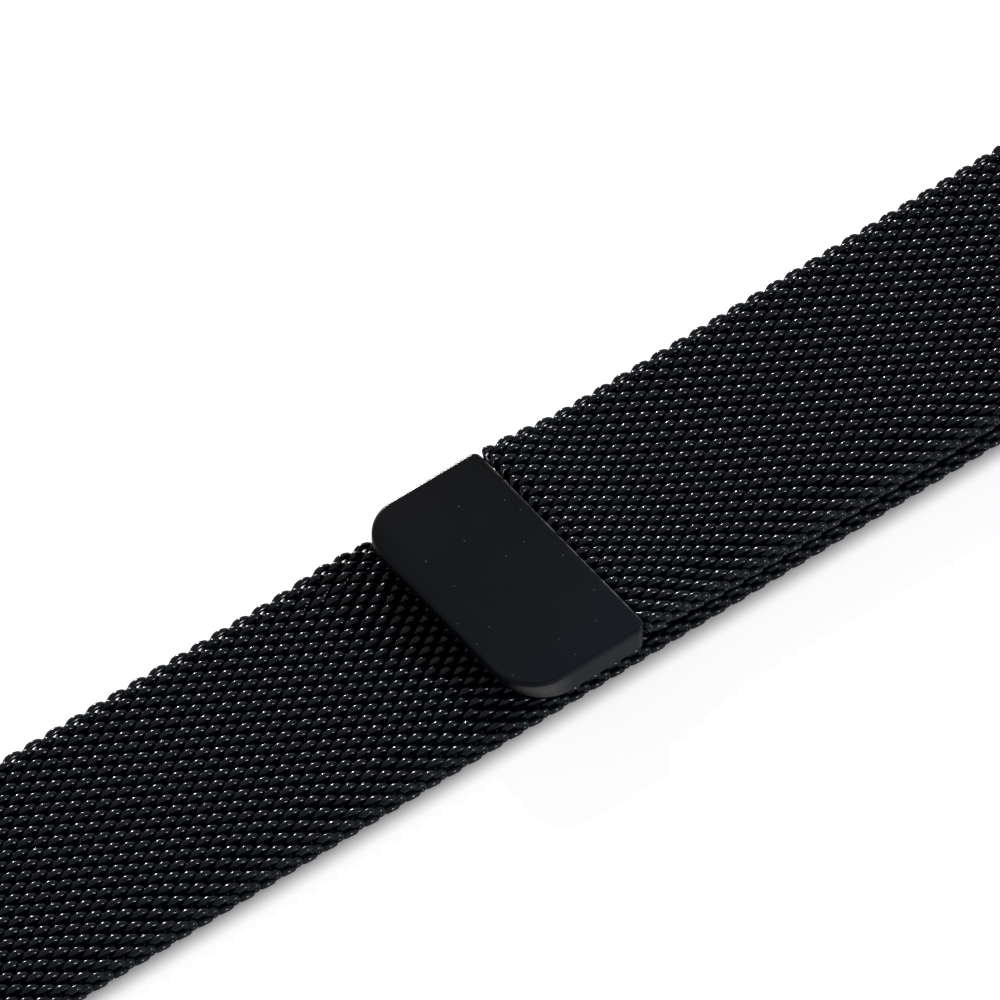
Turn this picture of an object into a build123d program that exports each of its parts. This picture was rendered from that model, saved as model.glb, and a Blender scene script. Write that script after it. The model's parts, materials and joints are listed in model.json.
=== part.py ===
from build123d import *
import math
import os

os.makedirs("parts", exist_ok=True)

# A woven wire mesh band that lies closed and flat. The mesh runs from the plain end piece along
# the floor, round the inner bar of the ring, and back on top of itself to the magnetic tab.
# X runs along the band, Y across it, Z up. The origin is on the resting face under the tab.

# Woven mesh
band_width = 20.0
mesh_thickness = 2.0
scallop_pitch = 1.8
scallop_depth = 0.3
rib_groove_depth = 0.45
rib_groove_half_width = 0.5
rib_end_share = 0.75
layer_gap = 0.1
hinge_clearance = 0.05
center_scallops = 8
segment_scallops = 6
end_scallops = 5
full_segments = 4
fold_lead = 2.8
ramp_run = 8.8
top_layer_rise = 0.42
tongue_thickness = 0.9
tongue_length = 2.4
tongue_inset = 1.2
end_face_gap = 0.05

# Magnetic tab
tab_length = 11.4
tab_overhang = 0.25
tab_gap = 0.35
tab_height = 2.2
tab_free_corner = 3.6
tab_mesh_corner = 0.6
tab_undercut = 0.9
tab_lip_height = 0.75
tab_edge_round = 0.25
tab_wall = 0.45
tab_base_thickness = 0.3
tab_fit = 0.02
yoke_thickness = 0.25
magnet_thickness = 1.1
magnet_width = 4.6
magnet_depth_share = 0.6
magnet_count = 3
magnet_gap = 0.8
crimp_length = 1.0
wire_place_share = 0.5
retainer_radius = 0.25
retainer_clearance = 0.03

# Ring
ring_bar_radius = 0.7
ring_bar_clearance = 0.15
ring_side_clearance = 0.4
ring_arm_width = 1.6
ring_arm_height = 2.2
ring_pitch = 8.8
ring_arm_round = 0.4
ring_pin_radius = 0.5
ring_pin_clearance = 0.05

# End piece and end link
end_tube_radius = 1.7
end_side_inset = 0.2
end_mouth_extra = 0.35
end_reach = 3.4
end_edge_round = 0.2
link_knuckle_radius = 1.45
link_pitch = 5.0
link_web_height = 1.9

# Quick release spring bars
barrel_radius = 0.8
barrel_fit = 0.03
barrel_bore_radius = 0.6
barrel_inset = 0.2
pin_tip_radius = 0.4
pin_tip_reach = 1.2
pin_shank_fit = 0.03
fixed_shank_length = 2.0
sliding_shank_length = 6.0
release_travel = 1.2
lever_setback = 3.4
lever_width = 1.2
lever_depth = 0.8
lever_floor_gap = 0.2
lever_clearance = 0.15
lever_foot_height = 0.5
lever_foot_extra = 0.25
spring_wire_radius = 0.07
spring_mean_radius = 0.45
spring_turns = 22

# Heights of the two mesh layers and of the fold between them
half_mesh = mesh_thickness / 2
lower_middle = half_mesh
upper_middle = mesh_thickness + layer_gap + half_mesh
fold_inner_radius = ring_bar_radius + ring_bar_clearance
bar_height = mesh_thickness + fold_inner_radius
fold_top_middle = bar_height + fold_inner_radius + half_mesh
tab_floor = mesh_thickness + tab_gap
tab_middle = tab_floor + tab_height / 2

# Stations along the band
segment_length = segment_scallops * scallop_pitch
end_segment_length = end_scallops * scallop_pitch
first_hinge = center_scallops * scallop_pitch / 2
side_hinges = [first_hinge + step * segment_length for step in range(full_segments + 1)]
fold_hinge = side_hinges[-1] + end_segment_length
bar_station = fold_hinge + fold_lead
ramp_foot = bar_station - ramp_run
tab_edge = tab_length / 2
mesh_entry = tab_edge + end_face_gap
ring_tilt = math.degrees(math.asin((bar_height - end_tube_radius) / ring_pitch))
pin_station = bar_station + ring_pitch * math.cos(math.radians(ring_tilt))
tube_station_a = -fold_hinge - end_reach
tab_pin_station = mesh_entry - tongue_length * wire_place_share
end_pin_station = -fold_hinge - tongue_length * wire_place_share
tube_station_b = pin_station + link_pitch

# Half widths across the band
half_band = band_width / 2
tongue_half_width = half_band - tongue_inset
slot_half_width = tongue_half_width + hinge_clearance
half_end = half_band - end_side_inset
end_width = 2 * half_end
ring_slot_half = half_band + ring_side_clearance
ring_outer_half = ring_slot_half + ring_arm_width


def side_extrude(profile, half_width):
    """A solid of the side view profile (X across, Z up), centred on the band."""
    return extrude(Plane.XZ * profile, half_width, both=True)


def disc(x, z, radius):
    """A round patch of a side view."""
    return Pos(x, z) * Circle(radius)


def strip(start, end, thickness):
    """A straight strip of a side view, from one middle point to the next."""
    run = Vector(end[0] - start[0], end[1] - start[1])
    normal = Vector(-run.Y, run.X).normalized() * (thickness / 2)
    first = Vector(*start)
    last = Vector(*end)
    return make_face(Polyline(first + normal, last + normal, last - normal, first - normal, close=True))


def upper_height(station):
    """The middle of the top layer, which rises a little from the last bend before the tab to the fold."""
    return upper_middle + top_layer_rise * (station - side_hinges[1]) / (side_hinges[-1] - side_hinges[1])


def rib_grooves(start, end, faces):
    """Side views of the valleys between every two rows of coils, cut into the faces of a straight strip."""
    run = Vector(end[0] - start[0], end[1] - start[1])
    along = run.normalized() * (2 * rib_groove_half_width)
    normal = Vector(-along.Y, along.X).normalized()
    margin = rib_end_share * scallop_pitch
    first = math.ceil((min(start[0], end[0]) + margin) / scallop_pitch)
    last = math.floor((max(start[0], end[0]) - margin) / scallop_pitch)
    grooves = []
    for index in range(first, last + 1):
        middle = Vector(*start) + run * ((index * scallop_pitch - start[0]) / run.X)
        for face in faces:
            root = middle + normal * (face * (half_mesh - rib_groove_depth))
            above = root + normal * (face * 2 * rib_groove_depth)
            grooves.append(make_face(Polyline(root, above + along, above - along, close=True)))
    return grooves


def scalloped_prism(x_low, x_high, z_low, z_high):
    """The band's plan between two stations, with one bump for every two rows of coils."""
    first = math.floor(x_low / scallop_pitch)
    last = math.ceil(x_high / scallop_pitch)
    root = half_band - scallop_depth
    edges = []
    for side in (-1, 1):
        for index in range(first, last):
            start = index * scallop_pitch
            edges.append(
                ThreePointArc(
                    (start, side * root),
                    (start + scallop_pitch / 2, side * half_band),
                    (start + scallop_pitch, side * root),
                )
            )
    for end in (first, last):
        edges.append(Line((end * scallop_pitch, -root), (end * scallop_pitch, root)))
    plan = make_face(edges)
    return Pos(0, 0, z_low) * extrude(plan, z_high - z_low)


def mesh_segment(points, socket=True, noses=(-1,), ribbed=(-1, 1)):
    """One bendable length of mesh: a ribbed strip with round noses, hollowed where it meets its parent."""
    profile = Sketch()
    for start, end in zip(points, points[1:]):
        profile += strip(start, end, mesh_thickness)
    for point in points[1:-1]:
        profile += disc(*point, half_mesh)
    for index in noses:
        profile += disc(*points[index], half_mesh)
    if socket:
        profile -= disc(*points[0], half_mesh + hinge_clearance)
    for start, end in zip(points, points[1:]):
        for groove in rib_grooves(start, end, ribbed):
            profile -= groove
    xs = [point[0] for point in points]
    zs = [point[1] for point in points]
    plan = scalloped_prism(
        min(xs) - mesh_thickness, max(xs) + mesh_thickness, min(zs) - mesh_thickness, max(zs) + mesh_thickness
    )
    return side_extrude(profile, half_band) & plan


def center_mesh():
    """The length of lower mesh that the magnets hold, with a nose at each end and a plain resting face."""
    return mesh_segment(
        [(-first_hinge, lower_middle), (first_hinge, lower_middle)], socket=False, noses=(0, 1), ribbed=(1,)
    )


def lower_mesh(side, index):
    """A full segment of the lower layer, counted outwards from the tab."""
    near = side * side_hinges[index]
    far = side * side_hinges[index + 1]
    return mesh_segment([(near, lower_middle), (far, lower_middle)])


def right_end_mesh():
    """The last flat length of the lower layer before the fold."""
    return mesh_segment([(side_hinges[-1], lower_middle), (fold_hinge, lower_middle)])


def left_end_mesh():
    """The far end of the lower layer, pressed into a tongue that the end piece grips."""
    body = mesh_segment([(-side_hinges[-1], lower_middle), (-fold_hinge, lower_middle)], noses=())
    tongue = Pos(-fold_hinge - tongue_length / 2, 0, lower_middle) * Box(
        tongue_length, 2 * tongue_half_width, tongue_thickness
    )
    return (body + tongue) - retainer_hole(end_pin_station, lower_middle)


def fold_mesh():
    """The mesh bent back round the inner bar of the ring."""
    profile = strip((fold_hinge, lower_middle), (bar_station, lower_middle), mesh_thickness)
    bend = disc(bar_station, bar_height, fold_inner_radius + mesh_thickness)
    bend -= disc(bar_station, bar_height, fold_inner_radius)
    reach = fold_inner_radius + mesh_thickness
    profile += bend & (Pos(bar_station + reach / 2, bar_height) * Rectangle(reach, 2 * reach))
    profile += disc(bar_station, fold_top_middle, half_mesh)
    profile -= disc(fold_hinge, lower_middle, half_mesh + hinge_clearance)
    plan = scalloped_prism(fold_hinge, bar_station + reach, 0, bar_height + reach)
    return side_extrude(profile, half_band) & plan


def ramp_mesh():
    """The top layer coming down from the fold until it lies on the lower layer."""
    stations = (ramp_foot, side_hinges[-1])
    return mesh_segment([(bar_station, fold_top_middle), *((x, upper_height(x)) for x in stations)])


def top_mesh(index):
    """A full segment of the top layer, counted outwards from the tab."""
    return mesh_segment([(x, upper_height(x)) for x in (side_hinges[index + 1], side_hinges[index])])


def tab_mesh():
    """The last length of the top layer, which rises a little and ends in a tongue inside the tab."""
    body = mesh_segment([(side_hinges[1], upper_middle), (mesh_entry, tab_middle)], noses=())
    trim = Pos(mesh_entry - mesh_thickness, 0, tab_middle) * Box(
        2 * mesh_thickness, 2 * band_width, 2 * tab_height + mesh_thickness
    )
    tongue = Pos(mesh_entry - tongue_length / 2 + half_mesh / 2, 0, tab_middle) * Box(
        tongue_length + half_mesh, 2 * tongue_half_width, tongue_thickness
    )
    return ((body - trim) + tongue) - retainer_hole(tab_pin_station, tab_middle)


def retainer_hole(x, z):
    """The hole that a retaining wire passes through, across a tongue."""
    return Pos(x, 0, z) * Rot(90, 0, 0) * Cylinder(retainer_radius + retainer_clearance, 2 * band_width)


def retaining_wire(x, z, length):
    """The straight wire that keeps the last coils from pulling out."""
    return Pos(x, 0, z) * Rot(90, 0, 0) * Cylinder(retainer_radius, length)


def tab_plan(grow, cut_back):
    """The tab seen from above: generous corners at the free end, small ones at the mesh."""
    half = half_band + tab_overhang + grow
    left = -tab_edge + cut_back - grow
    right = tab_edge
    large = tab_free_corner + grow
    small = tab_mesh_corner
    slant = math.sqrt(1 / 2)
    edges = [
        Line((left + large, half), (right - small, half)),
        ThreePointArc(
            (right - small, half),
            (right - small + small * slant, half - small + small * slant),
            (right, half - small),
        ),
        Line((right, half - small), (right, -half + small)),
        ThreePointArc(
            (right, -half + small),
            (right - small + small * slant, -half + small - small * slant),
            (right - small, -half),
        ),
        Line((right - small, -half), (left + large, -half)),
        ThreePointArc(
            (left + large, -half),
            (left + large - large * slant, -half + large - large * slant),
            (left, -half + large),
        ),
        Line((left, -half + large), (left, half - large)),
        ThreePointArc(
            (left, half - large),
            (left + large - large * slant, half - large + large * slant),
            (left + large, half),
        ),
    ]
    return make_face(edges)


# Heights and stations inside the tab
tab_roof = tab_floor + tab_height
lip_level = tab_roof - tab_lip_height
tab_ceiling = tab_roof - tab_wall
base_top = tab_floor + tab_base_thickness
tongue_low = tab_middle - tongue_thickness / 2
tongue_high = tab_middle + tongue_thickness / 2
cavity_free_end = -tab_edge + tab_undercut + tab_wall
cavity_mesh_end = tab_edge - tongue_length
cavity_half = half_band + tab_overhang - tab_wall
tray_front = cavity_mesh_end - tab_fit
tray_middle = (tray_front + cavity_free_end + tab_fit) / 2
magnet_depth = magnet_depth_share * (tray_front - cavity_free_end - tab_fit)


def cavity_plan(shrink, front):
    """The hollow of the tab seen from above, drawn in by a clearance and ending at a station."""
    length = front - cavity_free_end - shrink
    plan = Pos(front - length / 2, 0) * Rectangle(length, 2 * (cavity_half - shrink))
    return fillet(plan.vertices().group_by(Axis.X)[0], tab_free_corner - tab_wall - shrink)


def tab_shell():
    """The cover: a shell with a finger lip at its free end, open below and towards the mesh."""
    low = Pos(0, 0, tab_floor) * tab_plan(0, tab_undercut)
    high = Pos(0, 0, lip_level) * tab_plan(0, 0)
    outer = loft([low, high]) + Pos(0, 0, lip_level) * extrude(tab_plan(0, 0), tab_lip_height)
    outer = fillet(outer.faces().sort_by(Axis.Z)[-1].edges(), tab_edge_round)
    inner = Pos(0, 0, tab_floor) * extrude(cavity_plan(0, tab_edge), tab_ceiling - tab_floor)
    mouth = Pos(tab_edge, 0, tab_floor + (tab_ceiling - tab_floor) / 2) * Box(
        2 * tab_mesh_corner, 2 * cavity_half, tab_ceiling - tab_floor
    )
    shell = outer - inner - mouth
    rib_drop = tab_ceiling - tongue_high - tab_fit
    rib = Pos(tab_edge - crimp_length / 2, 0, tab_ceiling - rib_drop / 2) * Box(
        crimp_length, 2 * cavity_half, rib_drop
    )
    cheek = cavity_half - tongue_half_width - tab_fit
    shell += rib
    for side in (-1, 1):
        shell += Pos(tab_edge - tongue_length / 2, side * (cavity_half - cheek / 2), (base_top + tab_ceiling) / 2) * Box(
            tongue_length, cheek, tab_ceiling - base_top
        )
    return shell - retainer_hole(tab_pin_station, tab_middle)


def tab_bottom():
    """The plate that closes the tab and carries the lower half of the grip on the mesh."""
    plate = Pos(0, 0, tab_floor) * extrude(cavity_plan(tab_fit, tab_edge), tab_base_thickness)
    rib_height = tongue_low - tab_fit - base_top
    rib = Pos(tab_edge - crimp_length / 2, 0, base_top + rib_height / 2) * Box(
        crimp_length, 2 * tongue_half_width, rib_height
    )
    return plate + rib


def magnet_places():
    """Where the magnets stand across the tab."""
    pitch = magnet_width + magnet_gap
    return [(index - (magnet_count - 1) / 2) * pitch for index in range(magnet_count)]


def magnets():
    """A row of square magnets on the bottom plate."""
    blocks = [
        Pos(tray_middle, y, base_top + magnet_thickness / 2) * Box(magnet_depth, magnet_width, magnet_thickness)
        for y in magnet_places()
    ]
    return Compound(children=blocks)


def magnet_tray():
    """The thin frame that keeps the magnets apart."""
    tray = Pos(0, 0, base_top) * extrude(cavity_plan(tab_fit, tray_front), magnet_thickness)
    depth, width = magnet_depth + 2 * tab_fit, magnet_width + 2 * tab_fit
    for y in magnet_places():
        tray -= Pos(tray_middle, y, base_top + magnet_thickness / 2) * Box(depth, width, magnet_thickness)
    return tray


def yoke():
    """The steel strip over the magnets that turns their pull downwards."""
    return Pos(0, 0, base_top + magnet_thickness) * extrude(cavity_plan(tab_fit, tray_front), yoke_thickness)


def ring_frame():
    """The ring: a round inner bar for the fold and two side arms drilled for the hinge pin."""
    frame = Rot(90, 0, 0) * Cylinder(ring_bar_radius, 2 * ring_slot_half)
    for side in (-1, 1):
        profile = Pos(ring_pitch / 2, 0) * SlotCenterToCenter(ring_pitch, ring_arm_height)
        arm = extrude(Plane.XZ * profile, ring_arm_width / 2, both=True)
        arm = fillet(arm.edges().filter_by(lambda edge: abs(edge.tangent_at(0).Y) < 1 / 2), ring_arm_round)
        frame += Pos(0, side * (ring_slot_half + ring_arm_width / 2), 0) * arm
    frame -= Pos(ring_pitch, 0, 0) * Rot(90, 0, 0) * Cylinder(ring_pin_radius, 2 * ring_outer_half)
    return Pos(bar_station, 0, bar_height) * Rot(0, ring_tilt, 0) * frame


def hinge_pin():
    """The pin across the outer end of the ring, flush with its arms."""
    flush = 2 * (ring_outer_half - ring_arm_round / 2)
    return Pos(pin_station, 0, end_tube_radius) * Rot(90, 0, 0) * Cylinder(ring_pin_radius, flush)


def bar_bore(x):
    """The bore that a spring bar lies in."""
    return Pos(x, 0, end_tube_radius) * Rot(90, 0, 0) * Cylinder(barrel_radius + barrel_fit, 2 * band_width)


def lever_middle(shift):
    """Where the release lever stands across the band, with its travel shared out."""
    return -half_end + lever_setback + shift


def lever_window(x):
    """The slot under the tube that the release lever slides in."""
    length = lever_width + release_travel + 2 * lever_clearance
    width = lever_depth + 2 * (lever_foot_extra + lever_clearance)
    return Pos(x, lever_middle(release_travel / 2), end_tube_radius / 2) * Box(width, length, end_tube_radius)


def end_piece():
    """The end piece: a tube for the spring bar with a mouth that grips the mesh tongue."""
    mouth_face = -fold_hinge - end_face_gap
    mouth_height = mesh_thickness + end_mouth_extra
    run = mouth_face - tube_station_a
    profile = disc(tube_station_a, end_tube_radius, end_tube_radius)
    profile += Pos(tube_station_a + run / 2, mouth_height / 2) * Rectangle(run, mouth_height)
    crown = make_face(
        Polyline(
            (tube_station_a, mouth_height),
            (tube_station_a, 2 * end_tube_radius),
            (mouth_face, mouth_height),
            close=True,
        )
    )
    body = side_extrude(profile + crown, half_end)
    body = fillet(body.edges().filter_by(lambda edge: abs(edge.tangent_at(0).Y) < 1 / 2), end_edge_round)
    slot_depth = tongue_length + end_face_gap
    slot = Pos(mouth_face - slot_depth / 2, 0, lower_middle) * Box(
        slot_depth, 2 * slot_half_width, tongue_thickness + 2 * tab_fit
    )
    body -= slot
    body -= retainer_hole(end_pin_station, lower_middle)
    return body - bar_bore(tube_station_a) - lever_window(tube_station_a)


def end_link():
    """The short link between the ring's pin and the spring bar at the other end."""
    profile = disc(pin_station, end_tube_radius, link_knuckle_radius)
    profile += disc(tube_station_b, end_tube_radius, end_tube_radius)
    profile += Pos(pin_station + link_pitch / 2, end_tube_radius) * Rectangle(link_pitch, link_web_height)
    body = side_extrude(profile, half_end)
    body = fillet(body.edges().filter_by(lambda edge: abs(edge.tangent_at(0).Y) < 1 / 2), end_edge_round)
    bore = Pos(pin_station, 0, end_tube_radius) * Rot(90, 0, 0) * Cylinder(
        ring_pin_radius + ring_pin_clearance, 2 * band_width
    )
    return body - bore - bar_bore(tube_station_b) - lever_window(tube_station_b)


# Lengths and places along each spring bar, from its middle
barrel_half = half_end - barrel_inset
shank_radius = barrel_bore_radius - pin_shank_fit
sliding_inner_end = -barrel_half + sliding_shank_length
fixed_inner_end = barrel_half - fixed_shank_length


def bar_barrel(x):
    """The spring bar's tube, slotted for the lever."""
    tube = Rot(90, 0, 0) * (
        Cylinder(barrel_radius, 2 * barrel_half) - Cylinder(barrel_bore_radius, 2 * barrel_half)
    )
    length = lever_width + release_travel + 2 * lever_clearance
    slot = Pos(0, lever_middle(release_travel / 2), -barrel_radius / 2) * Box(
        lever_depth + 2 * lever_clearance, length, barrel_radius
    )
    return Pos(x, 0, end_tube_radius) * (tube - slot)


def bar_fixed_tip(x):
    """The tip pressed into the far end of the barrel."""
    shank_middle = (fixed_inner_end + half_end) / 2
    shank_length = half_end - fixed_inner_end
    shank = Pos(0, shank_middle, 0) * Rot(90, 0, 0) * Cylinder(barrel_bore_radius, shank_length)
    tip = Pos(0, half_end + pin_tip_reach / 2, 0) * Rot(90, 0, 0) * Cylinder(pin_tip_radius, pin_tip_reach)
    return Pos(x, 0, end_tube_radius) * (shank + round_tip(tip, 1))


def round_tip(tip, side):
    """Breaks the sharp rim of a tip's outer end."""
    rims = tip.edges().filter_by(GeomType.CIRCLE).group_by(Axis.Y)
    return chamfer(rims[-1] if side > 0 else rims[0], pin_tip_radius / 4)


def bar_sliding_tip(x):
    """The tip that the lever draws in, with a flat for the lever to sit on."""
    shank_middle = (sliding_inner_end - half_end) / 2
    shank_length = sliding_inner_end + half_end
    shank = Pos(0, shank_middle, 0) * Rot(90, 0, 0) * Cylinder(shank_radius, shank_length)
    tip = Pos(0, -half_end - pin_tip_reach / 2, 0) * Rot(90, 0, 0) * Cylinder(pin_tip_radius, pin_tip_reach)
    plunger = shank + round_tip(tip, -1)
    seat = Pos(0, lever_middle(0), -shank_radius / 2) * Box(2 * shank_radius, lever_width, shank_radius)
    return Pos(x, 0, end_tube_radius) * (plunger - seat)


def bar_lever(x):
    """The quick release lever: a post on the sliding tip with a wider foot for a fingernail."""
    post_height = end_tube_radius - lever_floor_gap
    post = Pos(x, lever_middle(0), lever_floor_gap + post_height / 2) * Box(lever_depth, lever_width, post_height)
    foot = Pos(x, lever_middle(0), lever_floor_gap + lever_foot_height / 2) * Box(
        lever_depth + 2 * lever_foot_extra, lever_width, lever_foot_height
    )
    return post + foot


def bar_spring(x):
    """The coil spring in the barrel, between the two shanks."""
    free = fixed_inner_end - sliding_inner_end - 2 * spring_wire_radius
    pitch = free / spring_turns
    path = Helix(pitch, free, spring_mean_radius)
    section = Plane(path @ 0, z_dir=path % 0) * Circle(spring_wire_radius)
    coil = sweep(section, path)
    start = sliding_inner_end + spring_wire_radius
    return Pos(x, start, end_tube_radius) * Rot(-90, 0, 0) * coil


def build():
    """Every piece by its node's name."""
    pieces = {"mesh_center": center_mesh()}
    for index in range(full_segments):
        pieces[f"mesh_left_{index + 1}"] = lower_mesh(-1, index)
        pieces[f"mesh_right_{index + 1}"] = lower_mesh(1, index)
    pieces[f"mesh_left_{full_segments + 1}"] = left_end_mesh()
    pieces[f"mesh_right_{full_segments + 1}"] = right_end_mesh()
    pieces["mesh_fold"] = fold_mesh()
    pieces[f"mesh_top_{full_segments + 1}"] = ramp_mesh()
    for index in range(1, full_segments):
        pieces[f"mesh_top_{index + 1}"] = top_mesh(index)
    pieces["mesh_top_1"] = tab_mesh()
    pieces["tab_cover"] = tab_shell()
    pieces["tab_base_plate"] = tab_bottom()
    pieces["tab_magnets"] = magnets()
    pieces["tab_magnet_tray"] = magnet_tray()
    pieces["tab_yoke"] = yoke()
    pieces["tab_retaining_wire"] = retaining_wire(tab_pin_station, tab_middle, 2 * (half_band + tab_overhang))
    pieces["ring"] = ring_frame()
    pieces["ring_hinge_pin"] = hinge_pin()
    pieces["end_piece_a"] = end_piece()
    pieces["end_retaining_wire"] = retaining_wire(end_pin_station, lower_middle, end_width)
    pieces["end_link_b"] = end_link()
    for letter, station in (("a", tube_station_a), ("b", tube_station_b)):
        pieces[f"spring_bar_{letter}_barrel"] = bar_barrel(station)
        pieces[f"spring_bar_{letter}_fixed_tip"] = bar_fixed_tip(station)
        pieces[f"spring_bar_{letter}_sliding_tip"] = bar_sliding_tip(station)
        pieces[f"spring_bar_{letter}_lever"] = bar_lever(station)
        pieces[f"spring_bar_{letter}_spring"] = bar_spring(station)
    return pieces


for name, piece in build().items():
    export_step(piece, f"parts/{name}.step")

print("side hinges", side_hinges, "height", lower_middle, [upper_height(x) for x in side_hinges[1:]])
print("fold hinge", fold_hinge, "bar", bar_station, bar_height, "fold top", fold_top_middle)
print("pin", pin_station, "tubes", tube_station_a, tube_station_b, "height", end_tube_radius)
print("ring slot half", ring_slot_half, "tips from", half_end, "lever", lever_middle(0))
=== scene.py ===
"""Looks of a woven wire mesh band with a magnetic tab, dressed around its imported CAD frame.

The script is laid out as an add-on. It is run as a script, and builds every piece in order.
"""

import json
import math

import bpy
import numpy as np
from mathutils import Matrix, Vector


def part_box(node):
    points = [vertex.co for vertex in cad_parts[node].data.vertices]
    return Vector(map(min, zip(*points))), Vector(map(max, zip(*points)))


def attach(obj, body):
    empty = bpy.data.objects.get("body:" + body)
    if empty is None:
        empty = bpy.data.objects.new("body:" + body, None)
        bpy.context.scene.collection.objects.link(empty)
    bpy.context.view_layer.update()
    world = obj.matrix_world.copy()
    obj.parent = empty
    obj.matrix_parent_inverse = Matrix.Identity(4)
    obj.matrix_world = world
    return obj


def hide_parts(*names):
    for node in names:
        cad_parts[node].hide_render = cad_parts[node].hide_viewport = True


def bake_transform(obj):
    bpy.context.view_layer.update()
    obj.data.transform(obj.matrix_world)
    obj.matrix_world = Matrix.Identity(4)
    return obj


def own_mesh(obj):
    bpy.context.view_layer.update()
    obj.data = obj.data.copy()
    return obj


bl_info = {
    "name": "Woven mesh band",
    "version": (1, 0, 0),
    "blender": (4, 5, 0),
    "location": "3D View > Sidebar > Mesh band",
    "description": "Builds the wire mesh, the magnetic tab, the finishes and the studio of a mesh watch band",
    "category": "Object",
}

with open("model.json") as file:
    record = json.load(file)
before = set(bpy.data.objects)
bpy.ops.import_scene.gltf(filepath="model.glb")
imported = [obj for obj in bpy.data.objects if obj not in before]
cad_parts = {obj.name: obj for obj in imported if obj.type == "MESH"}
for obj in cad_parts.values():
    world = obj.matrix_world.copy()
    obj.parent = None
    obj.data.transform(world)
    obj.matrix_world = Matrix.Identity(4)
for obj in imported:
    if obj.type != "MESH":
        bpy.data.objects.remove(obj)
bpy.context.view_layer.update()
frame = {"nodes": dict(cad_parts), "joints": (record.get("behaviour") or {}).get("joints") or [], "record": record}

MM = 0.001
JOINTS = {joint["name"]: joint for joint in frame["joints"]}


def joint_place(name):
    """A joint's place at rest, in metres."""
    return Vector(JOINTS[name]["pos_m"])


TAB_LOW, TAB_HIGH = (Vector(corner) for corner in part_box("tab_cover"))

# Sizes and colours a user would change


class MeshSizes(bpy.types.PropertyGroup):
    """Sizes of the woven wire."""

    thickness: bpy.props.FloatProperty(
        name="Mesh thickness", description="Height of one layer of mesh",
        default=2 * joint_place("left_bend_1").z, unit="LENGTH"
    )
    wire_radius: bpy.props.FloatProperty(
        name="Wire radius", description="Half the diameter of the wire", default=0.28 * MM, unit="LENGTH"
    )
    coil_pitch: bpy.props.FloatProperty(
        name="Coil pitch", description="Advance of a coil in one turn", default=20 * MM / 17, unit="LENGTH"
    )
    coil_reach: bpy.props.FloatProperty(
        name="Coil reach", description="Half the length of a coil along the band", default=0.74 * MM, unit="LENGTH"
    )
    lower_pitch: bpy.props.FloatProperty(
        name="Lower pair pitch", description="Length of the lower layer that two neighbouring coils fill",
        default=1.855 * MM, unit="LENGTH"
    )
    upper_pitch: bpy.props.FloatProperty(
        name="Upper pair pitch", description="Length of the top layer that two neighbouring coils fill",
        default=1.7914 * MM, unit="LENGTH"
    )
    edge_droop: bpy.props.FloatProperty(
        name="Edge droop", description="How much lower the last crowns of the near edge lie",
        default=0.62 * MM, unit="LENGTH"
    )


class TabSizes(bpy.types.PropertyGroup):
    """Sizes of the magnetic tab's cover."""

    free_corner: bpy.props.FloatProperty(
        name="Free corner", description="Radius of the corners at the free end", default=3.6 * MM, unit="LENGTH"
    )
    mesh_corner: bpy.props.FloatProperty(
        name="Mesh corner", description="Radius of the near corner at the mesh", default=0.9 * MM, unit="LENGTH"
    )
    far_corner: bpy.props.FloatProperty(
        name="Far corner", description="Radius of the far corner at the mesh", default=0.6 * MM, unit="LENGTH"
    )
    undercut: bpy.props.FloatProperty(
        name="Undercut", description="How far the free end leans in under the finger lip", default=0.9 * MM,
        unit="LENGTH"
    )
    lip_height: bpy.props.FloatProperty(
        name="Lip height", description="Height of the finger lip", default=0.75 * MM, unit="LENGTH"
    )
    roof_round: bpy.props.FloatProperty(
        name="Roof rounding", description="Radius of the roof's edge", default=0.25 * MM, unit="LENGTH"
    )
    wall: bpy.props.FloatProperty(
        name="Wall", description="Thickness of the roof and the walls", default=0.45 * MM, unit="LENGTH"
    )
    mouth_height: bpy.props.FloatProperty(
        name="Mouth height", description="Height of the slot that grips the pressed mesh", default=0.96 * MM,
        unit="LENGTH"
    )


class SpringBarSizes(bpy.types.PropertyGroup):
    """Sizes of the springs in the spring bars."""

    spring_wire_radius: bpy.props.FloatProperty(
        name="Spring wire radius", description="Half the diameter of the spring's wire", default=0.07 * MM,
        unit="LENGTH"
    )
    spring_turns: bpy.props.IntProperty(name="Spring turns", description="Turns of each spring", default=22, min=1)


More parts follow.
